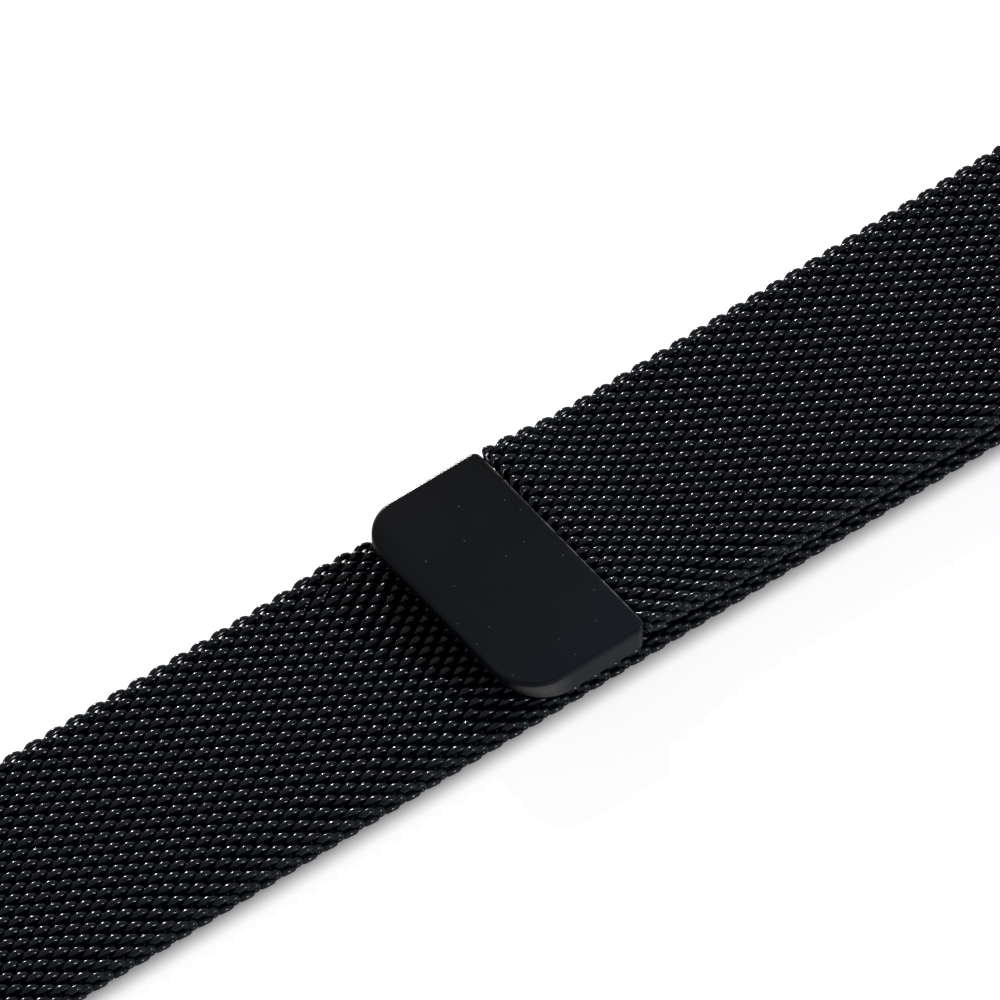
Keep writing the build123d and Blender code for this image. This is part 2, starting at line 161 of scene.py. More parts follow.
class BandColours(bpy.types.PropertyGroup):
    """Colours of the finishes, as linear light."""

    wire: bpy.props.FloatVectorProperty(
        name="Wire", description="Black plating of the wire", default=(0.0001, 0.0012, 0.0036), subtype="COLOR",
        min=0, max=1
    )
    cover: bpy.props.FloatVectorProperty(
        name="Tab cover", description="Satin black of the tab", default=(0.0027, 0.0034, 0.0050), subtype="COLOR",
        min=0, max=1
    )
    # Besides the specks of dust, this colour paints the reflection of the floor on the tab's near wall and, with
    # wear, the highlight along its mesh-side edge.
    dust: bpy.props.FloatVectorProperty(
        name="Dust", description="Specks on the roof of the tab", default=(0.05, 0.05, 0.052), subtype="COLOR",
        min=0, max=1
    )
    fittings: bpy.props.FloatVectorProperty(
        name="Fittings", description="Polished black of the ring and the end pieces",
        default=(0.0060, 0.0062, 0.0080), subtype="COLOR", min=0, max=1
    )
    steel: bpy.props.FloatVectorProperty(
        name="Steel", description="Bare steel of the spring bars", default=(0.50, 0.50, 0.51), subtype="COLOR",
        min=0, max=1
    )
    plating: bpy.props.FloatVectorProperty(
        name="Magnet plating", description="Nickel plating of the magnets", default=(0.62, 0.60, 0.56),
        subtype="COLOR", min=0, max=1
    )
    tray: bpy.props.FloatVectorProperty(
        name="Tray", description="Moulded plastic of the magnet tray", default=(0.03, 0.03, 0.03),
        subtype="COLOR", min=0, max=1
    )
    floor: bpy.props.FloatVectorProperty(
        name="Floor", description="Paper white of the floor", default=(0.92, 0.92, 0.925), subtype="COLOR",
        min=0, max=1
    )


class StageSettings(bpy.types.PropertyGroup):
    """The camera, the lamps and the floor."""

    camera_azimuth: bpy.props.FloatProperty(
        name="Camera azimuth", description="Direction the camera looks from", default=math.radians(-37.353),
        subtype="ANGLE"
    )
    camera_elevation: bpy.props.FloatProperty(
        name="Camera elevation", description="Height of the camera above the floor", default=math.radians(51.733),
        subtype="ANGLE"
    )
    camera_distance: bpy.props.FloatProperty(
        name="Camera distance", description="Distance from the tab to the camera", default=0.8463, unit="LENGTH"
    )
    lens: bpy.props.FloatProperty(
        name="Lens", description="Focal length on a 36 mm sensor, in millimetres", default=419.4
    )
    floor_size: bpy.props.FloatProperty(
        name="Floor size", description="Length of the floor's sides", default=4.0, unit="LENGTH"
    )
    back_lamp: bpy.props.FloatProperty(
        name="Back lamp", description="Strength of the lamp behind the band", default=7.0, min=0
    )
    front_lamp: bpy.props.FloatProperty(
        name="Front lamp", description="Strength of the lamp in front of the band", default=3.0, min=0
    )
    room_light: bpy.props.FloatProperty(
        name="Room light", description="Strength of the even light from all round", default=0.15, min=0
    )


# Helpers for modelling

TOUCH = 0.001 * MM


def deselect():
    """Nothing is selected after this, so the next operator acts on the new piece alone."""
    if bpy.context.object and bpy.context.object.mode != "OBJECT":
        bpy.ops.object.mode_set(mode="OBJECT")
    bpy.ops.object.select_all(action="DESELECT")


def pick(piece):
    """Makes a piece the only selected one."""
    deselect()
    piece.select_set(True)
    bpy.context.view_layer.objects.active = piece
    return piece


def choose(piece, kind, test, upright=False):
    """Opens a piece in edit mode with the edges or faces selected whose corners all pass a test.

    With upright, only the edges that stand on end are selected.
    """
    pick(piece)
    bpy.ops.object.mode_set(mode="EDIT")
    bpy.ops.mesh.select_mode(type=kind)
    bpy.ops.mesh.select_all(action="DESELECT")
    bpy.ops.object.mode_set(mode="OBJECT")
    places = [vertex.co.copy() for vertex in piece.data.vertices]
    for item in piece.data.edges if kind == "EDGE" else piece.data.polygons:
        ends = [places[corner] for corner in item.vertices]
        item.select = all(map(test, ends)) and not (upright and abs(ends[0].z - ends[1].z) < TOUCH)
    bpy.ops.object.mode_set(mode="EDIT")


def apply_modifier(piece, kind, **settings):
    """Adds a modifier with these settings and applies it."""
    pick(piece)
    modifier = piece.modifiers.new(kind.title(), kind)
    for name, value in settings.items():
        setattr(modifier, name, value)
    bpy.ops.object.modifier_apply(modifier=modifier.name)


def apply_place(piece):
    """Moves an object's place into its mesh."""
    pick(piece)
    bpy.ops.object.transform_apply(location=True, rotation=True, scale=True)


def block(name, low, high):
    """A box between two corners, with its place in its mesh."""
    deselect()
    low, high = Vector(low), Vector(high)
    bpy.ops.mesh.primitive_cube_add(size=1, location=(low + high) / 2, scale=high - low)
    piece = bpy.context.object
    piece.name = name
    apply_place(piece)
    return piece


def cut(piece, cutter):
    """Takes a cutter's space out of a piece, and removes the cutter."""
    apply_modifier(piece, "BOOLEAN", operation="DIFFERENCE", object=cutter, solver="EXACT")
    bpy.data.objects.remove(cutter)


def wind_wire(name, wire_radius, sides, coil_radius, turns, advance, steps):
    """A wire wound round the Y axis: a small circle swept by the Screw modifier."""
    deselect()
    bpy.ops.mesh.primitive_circle_add(vertices=sides, radius=wire_radius, location=(coil_radius, 0, 0))
    wire = bpy.context.object
    wire.name = name
    apply_place(wire)
    apply_modifier(
        wire, "SCREW", axis="Y", angle=2 * math.pi * turns, screw_offset=advance, steps=steps, render_steps=steps,
        iterations=1, use_smooth_shade=True
    )
    return wire


def close_ends(wire, sides):
    """Fills the two open ends of a wire, and turns its faces outwards."""
    pick(wire)
    bpy.ops.object.mode_set(mode="EDIT")
    bpy.ops.mesh.select_all(action="SELECT")
    bpy.ops.mesh.fill_holes(sides=sides)
    bpy.ops.mesh.select_all(action="SELECT")
    bpy.ops.mesh.normals_make_consistent(inside=False)
    bpy.ops.object.mode_set(mode="OBJECT")


def points_of(piece):
    """The piece's vertices as an array."""
    places = np.empty(len(piece.data.vertices) * 3)
    piece.data.vertices.foreach_get("co", places)
    return places.reshape(-1, 3)


def move_points(piece, places):
    """Puts the piece's vertices at these places."""
    piece.data.vertices.foreach_set("co", np.ascontiguousarray(places).ravel())
    piece.data.update()


def smoothstep(x, low, high):
    """0 below low, 1 above high, and smooth between."""
    t = np.clip((x - low) / (high - low), 0, 1)
    return t * t * (3 - 2 * t)


# The woven mesh: two kinds of coil take turns along the band. The first kind ends in the loops that stand out along
# the edges, the second in the loops between them.

WIRE_SIDES = 8
STEPS_PER_TURN = 12
EASE = 0.32
FLATTEN = -0.07
TAIL_STEP = 0.22 * MM
CURVE_STEPS = 24
LAST_HALF_TURN = {"loop": 15, "notch": 16}
START_ANGLE = {"loop": -math.pi / 2, "notch": math.pi / 2}
DROOP_FROM, DROOP_TO = 6.2 * MM, 9.8 * MM

# Corners of each wire end after its last crown, in millimetres from the middle of the coil
FAR_TAIL = {
    "loop": (
        (-0.74, 9.05, 0), (0, 9.20, -0.72), (0.85, 9.58, 0.05), (0.50, 9.72, 0.55), (0.25, 9.74, 0.68),
        (0, 9.74, 0.72), (-0.45, 9.70, 0.66), (-0.80, 9.55, 0.25), (-0.92, 9.42, -0.10), (-0.86, 9.35, -0.35),
    ),
    "notch": (
        (-0.70, 9.50, 0), (-0.30, 9.66, -0.60), (0.20, 9.70, -0.70), (0.60, 9.68, -0.62), (0.86, 9.55, -0.35),
        (0.80, 9.42, -0.05),
    ),
}
NEAR_TAIL = {
    "loop": (
        (0.74, -9.05, -0.10), (0, -9.22, -0.72), (-0.62, -9.38, -0.45), (-0.50, -9.52, -0.22), (-0.15, -9.60, -0.12),
        (0.12, -9.63, -0.22), (0.18, -9.65, -0.42), (0.05, -9.67, -0.58), (-0.14, -9.69, -0.50),
        (-0.12, -9.73, -0.36),
    ),
    "notch": (
        (0.70, -9.40, -0.30), (0.45, -9.30, -0.66), (0, -9.26, -0.72), (-0.45, -9.40, -0.70), (-0.55, -9.62, -0.60),
        (-0.25, -9.74, -0.55), (0.15, -9.74, -0.60), (0.45, -9.70, -0.70), (0.60, -9.60, -0.72),
    ),
}


def woven_line(kind, sizes):
    """Middle line of the regular turns of a coil, from the near edge to the far one."""
    last = LAST_HALF_TURN[kind] * math.pi
    turn = np.linspace(-last, last, LAST_HALF_TURN[kind] * STEPS_PER_TURN + 1)
    angle = START_ANGLE[kind] + turn
    rise = sizes.thickness / 2 - sizes.wire_radius
    x = sizes.coil_reach * np.cos(angle)
    y = sizes.coil_pitch / (2 * math.pi) * (turn - EASE * np.sin(2 * turn))
    z = rise * (np.sin(angle) + FLATTEN * np.sin(3 * angle)) / (1 - FLATTEN)
    z -= sizes.edge_droop * smoothstep(-y, DROOP_FROM, DROOP_TO) * (z / rise + 1) / 2
    return np.stack([x, y, z], 1)


def tail_line(before, last, corners):
    """A smooth line on from a coil's last crown through the corners of its tail, in even steps."""
    corners = np.array([before, last, *(np.array(corners) * MM)])
    corners = np.vstack([corners, 2 * corners[-1] - corners[-2]])
    t = np.linspace(0, 1, CURVE_STEPS, endpoint=False)[:, None]
    runs = [
        (2 * b + (c - a) * t + (2 * a - 5 * b + 4 * c - d) * t**2 + (3 * b - a - 3 * c + d) * t**3) / 2
        for a, b, c, d in zip(corners, corners[1:], corners[2:], corners[3:])
    ]
    dense = np.concatenate([*runs, corners[-2:-1]])
    lengths = np.concatenate([[0], np.cumsum(np.linalg.norm(np.diff(dense, axis=0), axis=1))])
    stations = np.linspace(0, lengths[-1], round(lengths[-1] / TAIL_STEP) + 1)[1:]
    return np.stack([np.interp(stations, lengths, dense[:, axis]) for axis in range(3)], 1)


def tube_rings(line, radius):
    """Rings of points round a line, each turned as little as possible from the one before."""
    along = np.gradient(line, axis=0)
    along /= np.linalg.norm(along, axis=1)[:, None]
    out = np.empty_like(line)
    current = np.cross(along[0], (0, 1, 0))
    for index, way in enumerate(along):
        current = current - current.dot(way) * way
        current /= np.linalg.norm(current)
        out[index] = current
    side = np.cross(along, out)
    angle = np.arange(WIRE_SIDES) * 2 * math.pi / WIRE_SIDES
    return (
        line[:, None]
        + radius * np.cos(angle)[None, :, None] * out[:, None]
        + radius * np.sin(angle)[None, :, None] * side[:, None]
    )


def model_coil(kind, sizes):
    """One coil across the band: a small circle swept by the Screw modifier, then laid on its flattened line."""
    woven = woven_line(kind, sizes)
    far = tail_line(woven[-2], woven[-1], FAR_TAIL[kind])
    near = tail_line(woven[1], woven[0], NEAR_TAIL[kind])
    line = np.concatenate([near[::-1], woven, far])
    steps = len(line) - 1
    turns = steps / STEPS_PER_TURN
    coil = wind_wire(
        f"coil_{kind}", sizes.wire_radius, WIRE_SIDES, sizes.coil_reach, turns, turns * sizes.coil_pitch, steps
    )
    move_points(coil, tube_rings(line, sizes.wire_radius).reshape(-1, 3))
    close_ends(coil, WIRE_SIDES)
    return coil


# The strap's own line

LINE_STEP = 0.02 * MM
SMOOTH_REACH, SMOOTH_SAMPLES = 2.0 * MM, 9
WAY_REACH = 0.3 * MM
TONGUE_LENGTH = 2.4 * MM
ENTRY_GAP = 0.05 * MM
RAMP_RUN = 8.8 * MM
PRESS_RUN = 0.35 * MM
HUMP, HUMP_RUN, SEAT = 0.6 * MM, 8.2 * MM, 0.06 * MM


class Strap:
    """The line along the middle of the mesh, from the end piece round the fold into the tab."""

    def __init__(self):
        low = joint_place("left_bend_1").z
        bar = joint_place("ring_swing")
        top = joint_place("top_bend_5").z
        radius = top - bar.z
        self.end_face = -joint_place("fold_bend").x
        self.tab_face = TAB_HIGH.x + ENTRY_GAP
        rests = [joint_place(name) for name in ("tab_bend", "top_bend_2", "top_bend_3", "top_bend_4")]
        slope = (rests[-1].z - rests[0].z) / (rests[-1].x - rests[0].x)
        stations = [*(rest.x for rest in rests), bar.x]
        heights = [*(rest.z for rest in rests), rests[-1].z + slope * (bar.x - rests[-1].x)]
        lower = np.arange(self.end_face - TONGUE_LENGTH, bar.x, LINE_STEP)
        arc = np.arange(0, math.pi, LINE_STEP / radius)
        upper = np.arange(bar.x, self.tab_face - TONGUE_LENGTH, -LINE_STEP)
        rise = np.mean([
            np.interp(upper + shift, stations, heights)
            for shift in np.linspace(-SMOOTH_REACH, SMOOTH_REACH, SMOOTH_SAMPLES)
        ], 0)
        rise += HUMP * (1 - smoothstep(upper, self.tab_face, self.tab_face + HUMP_RUN)) - SEAT
        rise += (top - rise) * smoothstep(upper, bar.x - RAMP_RUN, bar.x)
        pressed = 1 - smoothstep(upper, self.tab_face - PRESS_RUN, self.tab_face + PRESS_RUN)
        rise += ((TAB_LOW.z + TAB_HIGH.z) / 2 - rise) * pressed
        self.line = np.concatenate([
            np.stack([lower, np.full_like(lower, low)], 1),
            np.stack([bar.x + radius * np.sin(arc), bar.z - radius * np.cos(arc)], 1),
            np.stack([upper, rise], 1),
        ])
        self.lengths = np.concatenate([[0], np.cumsum(np.linalg.norm(np.diff(self.line, axis=0), axis=1))])
        self.over_from = self.lengths[len(lower) + len(arc)]

    def lower_length(self, x):
        """The length along the strap at a place on the lower layer."""
        return x - self.line[0, 0]

    def upper_length(self, x):
        """The length along the strap at a place on the top layer."""
        over = self.lengths >= self.over_from
        return float(np.interp(-x, -self.line[over, 0], self.lengths[over]))

    def nearest_length(self, place, after):
        """The length along the strap, past another, that lies nearest to a place."""
        distance = np.hypot(self.line[:, 0] - place[0], self.line[:, 1] - place[2])
        distance[self.lengths < after] = math.inf
        return self.lengths[np.argmin(distance)]

    def at(self, length):
        """The place on the strap at a length along it."""
        return np.array([np.interp(length, self.lengths, self.line[:, axis]) for axis in (0, 1)])

    def way(self, length):
        """The direction of the strap at a length along it."""
        way = self.at(length + WAY_REACH) - self.at(length - WAY_REACH)
        return way / np.linalg.norm(way)


# Where the photographed coils lie: pair numbers at places along the strap, with the coil between loops on the number
LOWER_MARK = -20.87 * MM
LOWER_PAIRS = (12, 40)
UPPER_MARK = 30.36 * MM
UPPER_PAIRS = (13, 14)

# Where the first coil lies in the end piece, and how many pairs fill the unseen lengths
FIRST_COIL = -61.3 * MM
END_PAIRS = 10
FOLD_PAIRS = 12.5


def pair_marks(strap, sizes):
    """Pair numbers, and the lengths along the strap where they lie."""
    numbers = np.cumsum([0, END_PAIRS, sum(LOWER_PAIRS), FOLD_PAIRS, sum(UPPER_PAIRS), 1])
    upper_start = UPPER_MARK + UPPER_PAIRS[0] * sizes.upper_pitch
    upper_end = UPPER_MARK - UPPER_PAIRS[1] * sizes.upper_pitch
    lengths = [
        strap.lower_length(FIRST_COIL),
        strap.lower_length(LOWER_MARK - LOWER_PAIRS[0] * sizes.lower_pitch),
        strap.lower_length(LOWER_MARK + LOWER_PAIRS[1] * sizes.lower_pitch),
        strap.upper_length(upper_start),
        strap.upper_length(upper_end),
        strap.upper_length(upper_end) + sizes.upper_pitch,
    ]
    return numbers, np.array(lengths)


# How the mesh is pressed flat in the tab and the end piece, and where its far edge stands up a little
PRESSED_HEIGHT, PRESSED_WIDTH = 0.42, 0.88
UPPER_LIFT, UPPER_LIFT_RUN = 0.3 * MM, 7.2 * MM
LOWER_LIFT, LOWER_LIFT_PLACE, LOWER_LIFT_REACH = 0.42 * MM, -8.2 * MM, 3.2 * MM
LIFT_FROM, LIFT_TO = 3.0 * MM, 9.5 * MM


def pressed_and_lifted(x, y, up, over, strap):
    """Widths and heights in the mesh, after pressing its two ends and lifting its far edge beside the tab."""
    if over:
        press = 1 - smoothstep(x, strap.tab_face - PRESS_RUN, strap.tab_face + PRESS_RUN)
        lift = UPPER_LIFT * (1 - smoothstep(x, strap.tab_face, strap.tab_face + UPPER_LIFT_RUN))
        lift = lift * (1 - press)
    else:
        press = 1 - smoothstep(x, strap.end_face - PRESS_RUN, strap.end_face + PRESS_RUN)
        lift = LOWER_LIFT * np.exp(-(((x - LOWER_LIFT_PLACE) / LOWER_LIFT_REACH) ** 2))
    lift = lift * smoothstep(y, LIFT_FROM, LIFT_TO)
    return y * (1 - (1 - PRESSED_WIDTH) * press), up * (1 - (1 - PRESSED_HEIGHT) * press) + lift


def lay_on_strap(piece, first_pair, pair_points, strap, marks, pitch):
    """Turns each coil of a straight row as one piece onto the strap's own line."""
    per_pair = pair_points[-1][1]
    places = points_of(piece).reshape(-1, per_pair, 3)
    for index, pair in enumerate(places):
        number = first_pair + index
        over = np.interp(number, *marks) >= strap.over_from
        for (low, high), half in zip(pair_points, (0.0, 0.5) if over else (0.5, 0.0)):
            station = np.interp(number + half, *marks)
            shift = index * pitch + (pitch / 2 if low == 0 else 0)
            coil = pair[low:high]
            x, z = strap.at(station)
            way = strap.way(station) * (-1 if over else 1)
            along = coil[:, 0] - shift
            coil[:, 1], up = pressed_and_lifted(x + along * way[0], coil[:, 1], coil[:, 2], over, strap)
            coil[:, 0] = x + along * way[0] - up * way[1]
            coil[:, 2] = z + along * way[1] + up * way[0]
    move_points(piece, places.reshape(-1, 3))


def mesh_lengths():
    """Each length of mesh: its name, its joint, and the bodies before and after that joint."""
    rows = []
    for index in range(5, 0, -1):
        inner = "center_strap" if index == 1 else f"left_strap_{index - 1}"
        rows.append((f"left_{index}", f"left_bend_{index}", f"left_strap_{index}", inner))
    for index in range(1, 6):
        inner = "center_strap" if index == 1 else f"right_strap_{index - 1}"
        rows.append((f"right_{index}", f"right_bend_{index}", inner, f"right_strap_{index}"))
    rows.append(("fold_lower", "fold_bend", "right_strap_5", "fold"))
    rows.append(("fold_upper", "top_bend_5", "fold", "top_strap_5"))
    for index in (4, 3, 2):
        rows.append((f"top_{index}", f"top_bend_{index}", f"top_strap_{index + 1}", f"top_strap_{index}"))
    rows.append(("top_1", "tab_bend", "top_strap_2", "tab"))
    return rows


HINGE_APART = 1.0 * MM
BLEND_REACH = 2.4 * MM
FOLD_BLEND_REACH = 1.2 * MM


def model_pair(sizes):
    """Two neighbouring coils as one piece, with the first and last of each coil's points."""
    loop = model_coil("loop", sizes)
    notch = model_coil("notch", sizes)
    loop.location.x = sizes.lower_pitch / 2
    apply_place(loop)
    loop_count = len(loop.data.vertices)
    pair_points = ((0, loop_count), (loop_count, loop_count + len(notch.data.vertices)))
    pick(loop)
    notch.select_set(True)
    bpy.ops.object.join()
    return bpy.context.object, pair_points


def hinge_lengths(strap, rows):
    """The length along the strap where each length of mesh has its joint."""
    hinges, after = [], 0.0
    for _, joint, _, _ in rows:
        after = strap.nearest_length(joint_place(joint), after)
        hinges.append(after)
        after += HINGE_APART
    return hinges


class BAND_OT_mesh(bpy.types.Operator):
    """Weave the wire mesh in lengths laid along the strap's line"""

    bl_idname = "band.mesh"
    bl_label = "Woven mesh"

    def execute(self, context):
        sizes = context.scene.mesh_sizes
        strap = Strap()
        marks = pair_marks(strap, sizes)
        pitch = sizes.lower_pitch
        pair, pair_points = model_pair(sizes)
        pair.data.materials.append(black_wire(context.scene.band_colours))
        rows = mesh_lengths()
        hinges = hinge_lengths(strap, rows)
        middles = [(low + high) / 2 for low, high in zip(hinges, hinges[1:])]
        ends = [round(float(np.interp(middle, marks[1], marks[0]))) for middle in middles]
        ends.append(int(marks[0][-2] + 0.5))
        first = 0
        for (label, _, inner, outer), hinge, end in zip(rows, hinges, ends):
            pick(pair)
            bpy.ops.object.duplicate()
            piece = bpy.context.object
            piece.name = f"woven_{label}"
            apply_modifier(
                piece, "ARRAY", count=end - first, use_relative_offset=False, use_constant_offset=True,
                constant_offset_displace=(pitch, 0, 0)
            )
            lay_on_strap(piece, first, pair_points, strap, marks, pitch)
            reach = FOLD_BLEND_REACH if label == "fold_upper" else BLEND_REACH
            before, behind = strap.at(hinge - reach), strap.at(hinge + reach)
            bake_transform(piece)
            nodes = [n for body in (inner, outer) for n in frame["record"]["behaviour"]["bodies"][body]]
            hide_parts(*[n for n in nodes if n.startswith("mesh_")])
            first = end
        bpy.data.objects.remove(pair)
        return {"FINISHED"}


# The tab's cover

CORNER_STEPS = 16
SMALL_STEPS = 4
MOUTH_DEPTH = 1.0 * MM
SIDE_SKIN = 0.01 * MM
MOUTH_HALF_WIDTH = 8.85 * MM
PLATE_HEIGHT = 0.32 * MM
SOFT_EDGE = 0.04 * MM
SMOOTH_BELOW = math.radians(30)


def model_cover(sizes):
    """A block with rounded corners, leaned in under its lip, rounded along its roof and hollowed from below."""
    low, high = TAB_LOW - Vector((0, SIDE_SKIN, 0)), TAB_HIGH + Vector((0, SIDE_SKIN, 0))
    lip = high.z - sizes.lip_height
    cover = block("satin_tab_cover", low, high)
    corners = (
        (low.x, None, sizes.free_corner, CORNER_STEPS), (high.x, low.y, sizes.mesh_corner, SMALL_STEPS),
        (high.x, high.y, sizes.far_corner, SMALL_STEPS),
    )
    for x, y, radius, steps in corners:
        choose(
            cover, "EDGE", lambda place: abs(place.x - x) < TOUCH and (y is None or abs(place.y - y) < TOUCH),
            upright=True
        )
        bpy.ops.mesh.bevel(offset=radius, segments=steps, affect="EDGES")
    bpy.ops.mesh.select_all(action="SELECT")
    bpy.ops.mesh.bisect(plane_co=(0, 0, lip), plane_no=(0, 0, 1))
    bend_end = low.x + sizes.free_corner + TOUCH
    choose(cover, "EDGE", lambda place: place.z < low.z + TOUCH and place.x < bend_end)
    bpy.ops.transform.translate(value=(sizes.undercut, 0, 0))
    choose(cover, "EDGE", lambda place: place.z > high.z - TOUCH)
    bpy.ops.mesh.bevel(offset=sizes.roof_round, segments=SMALL_STEPS, affect="EDGES")
    choose(cover, "EDGE", lambda place: abs(place.z - lip) < TOUCH and place.x < bend_end)
    bpy.ops.mesh.bevel(offset=SOFT_EDGE, segments=2, affect="EDGES")
    choose(cover, "FACE", lambda place: place.z < low.z + TOUCH)
    bpy.ops.mesh.inset(thickness=sizes.wall, depth=0)
    bpy.ops.mesh.extrude_region_move(
        TRANSFORM_OT_translate={"value": (0, 0, high.z - sizes.wall - low.z)}
    )
    bpy.ops.object.mode_set(mode="OBJECT")
    mouth_top = (low.z + high.z + sizes.mouth_height) / 2
    for half_width, top in ((MOUTH_HALF_WIDTH, mouth_top), (-low.y - sizes.wall, low.z + PLATE_HEIGHT)):
        cut(cover, block(
            "mouth", (high.x - MOUTH_DEPTH, -half_width, low.z - MOUTH_DEPTH), (high.x + MOUTH_DEPTH, half_width, top)
        ))
    return cover


class BAND_OT_tab_cover(bpy.types.Operator):
    """Model the satin black cover of the magnetic tab"""

    bl_idname = "band.tab_cover"
    bl_label = "Tab cover"

    def execute(self, context):
        cover = model_cover(context.scene.tab_sizes)
        pick(cover)
        bpy.ops.object.shade_smooth_by_angle(angle=SMOOTH_BELOW)
        cover.data.materials.append(satin_cover(context.scene.band_colours))
        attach(cover, "tab")
        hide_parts("tab_cover")
        return {"FINISHED"}


# The coil springs in the spring bars

SPRING_SIDES = 6
SPRING_STEPS = 16


def model_bar_spring(letter, sizes):
    """The spring of one spring bar, wound between the two tips in the barrel."""
    low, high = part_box(f"spring_bar_{letter}_spring")
    wire, turns = sizes.spring_wire_radius, sizes.spring_turns
    spring = wind_wire(
        f"coil_spring_{letter}", wire, SPRING_SIDES, (high.x - low.x) / 2 - wire, turns, high.y - low.y - 2 * wire,
        SPRING_STEPS * turns
    )
    close_ends(spring, SPRING_SIDES)
    spring.location = ((low.x + high.x) / 2, low.y - points_of(spring)[:, 1].min(), (low.z + high.z) / 2)
    apply_place(spring)
    return spring


class BAND_OT_bar_springs(bpy.types.Operator):
    """Wind the springs of the two spring bars"""

    bl_idname = "band.bar_springs"
    bl_label = "Spring bar springs"

    def execute(self, context):
        finish = drawn_steel(context.scene.band_colours)
        for letter, body in (("a", "left_strap_5"), ("b", "end_link")):
            spring = model_bar_spring(letter, context.scene.bar_sizes)
            spring.data.materials.append(finish)
            node, joint = f"spring_bar_{letter}_spring", f"release_slide_{letter}"
            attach(spring, body)
            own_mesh(spring)
            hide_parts(node)
        return {"FINISHED"}


# Finishes


class Number:
    """A number in a finish: a node's socket, with Python's arithmetic."""

    def __init__(self, maker, socket):
        self.maker = maker
        self.socket = socket

    def maths(self, operation, *values):
        """The result of one Math node."""
        return self.maker.node("Math", {"operation": operation}, dict(enumerate(values)))

    def __add__(self, other):
        return self.maths("ADD", self, other)

    def __sub__(self, other):
        return self.maths("SUBTRACT", self, other)

    def __rsub__(self, other):
        return self.maths("SUBTRACT", other, self)

    def __mul__(self, other):
        return self.maths("MULTIPLY", self, other)

    def __gt__(self, other):
        return self.maths("GREATER_THAN", self, other)

    def __abs__(self):
        return self.maths("ABSOLUTE", self)

    def or_more(self, other):
        """The larger of two numbers."""
        return self.maths("MAXIMUM", self, other)

    def ramp(self, low, high, kind="LINEAR"):
        """0 below low, 1 above high, and even or smooth between."""
        values = {"Value": self, "From Min": low, "From Max": high}
        return self.maker.node("MapRange", {"interpolation_type": kind}, values)

    __radd__ = __add__
    __rmul__ = __mul__


class NodeMaker:
    """Makes and links the nodes of a material or a world."""

    def __init__(self, tree):
        self.tree = tree

    def node(self, kind, settings=None, values=None, output=0):
        """Adds a node of a kind, sets it up, and gives one of its outputs."""
        node = self.tree.nodes.new("ShaderNode" + kind)
        for name, value in (settings or {}).items():
            setattr(node, name, value)
        for name, value in (values or {}).items():
            self.feed(node.inputs[name], value)
        return Number(self, node.outputs[output])

    def feed(self, socket, value):
        """Links a number to a socket, or sets the socket's own value."""
        if isinstance(value, Number):
            self.tree.links.new(value.socket, socket)
        else:
            socket.default_value = value

    def white_rays(self):
        """1 for rays that see the plain white background: the camera's, and those that gloss and glass send on."""
        rays = self.node("LightPath", output="Is Camera Ray")
        for name in ("Is Glossy Ray", "Is Transmission Ray"):
            rays = rays.or_more(self.node("LightPath", output=name))
        return rays


class Finish(NodeMaker):
    """A procedural material, built round one Principled shader."""

    def __init__(self, name, **sockets):
        self.material = bpy.data.materials.new(name)
        self.material.use_nodes = True
        super().__init__(self.material.node_tree)
        self.shader = self.tree.nodes["Principled BSDF"]
        self.set(**sockets)

    def set(self, **sockets):
        """Feeds the shader's sockets, named with underscores for spaces."""
        for name, value in sockets.items():
            self.feed(self.shader.inputs[name.replace("_", " ")], value)

    def place(self, scale=(1, 1, 1)):
        """Object coordinates, in units of the given scale."""
        spot = self.node("TexCoord", output="Object")
        return self.node("Mapping", {}, {"Vector": spot, "Scale": scale})

    def along(self, axis):
        """One of the object's own coordinates, in metres."""
        return self.node("SeparateXYZ", {}, {"Vector": self.node("TexCoord", output="Object")}, axis)

    def noise(self, scale, detail=2.0, stretch=(1, 1, 1)):
        """Soft noise, with a size given in features per metre."""
        return self.node(
            "TexNoise", {}, {"Vector": self.place(stretch), "Scale": scale, "Detail": detail}, "Fac"
        )

    def mix(self, factor, low, high):
        """A colour between two."""
        node = self.tree.nodes.new("ShaderNodeMix")
        node.data_type = "RGBA"
        self.feed(node.inputs["Factor"], factor)
        for key, value in (("A", low), ("B", high)):
            socket = [s for s in node.inputs if s.name == key and s.type == "RGBA"][0]
            self.feed(socket, value if isinstance(value, Number) else (*value, 1))
        return Number(self, [s for s in node.outputs if s.type == "RGBA"][0])

    def bump(self, height, distance, strength=1.0):
        """A normal pushed by a height, with the full height given in metres."""
        self.set(Normal=self.node(
            "Bump", {}, {"Height": height, "Distance": distance, "Strength": strength}, "Normal"
        ))


# Share of the usual gloss, because the white room shows in the black plating
WIRE_GLOSS = 0.13
COVER_GLOSS = 0.05
FITTING_GLOSS = 0.4
STEEL_GLOSS = 0.3


def shade(colour, share):
    """A colour made lighter or darker."""
    return tuple(share * part for part in colour)


def black_wire(colours):
    """Glossy black plated wire, with faint drawing marks and patches of slightly duller plating."""
    finish = Finish("black_wire", Metallic=0.0, Specular_IOR_Level=WIRE_GLOSS)
    patches = finish.noise(900)
    marks = finish.noise(9000, 3.0)
    finish.set(
        Base_Color=finish.mix(patches, shade(colours.wire, 0.7), shade(colours.wire, 1.4)),
        Roughness=0.15 + patches * 0.05 + marks * 0.04,
    )
    finish.bump(marks, 0.0008 * MM)
    return finish.material


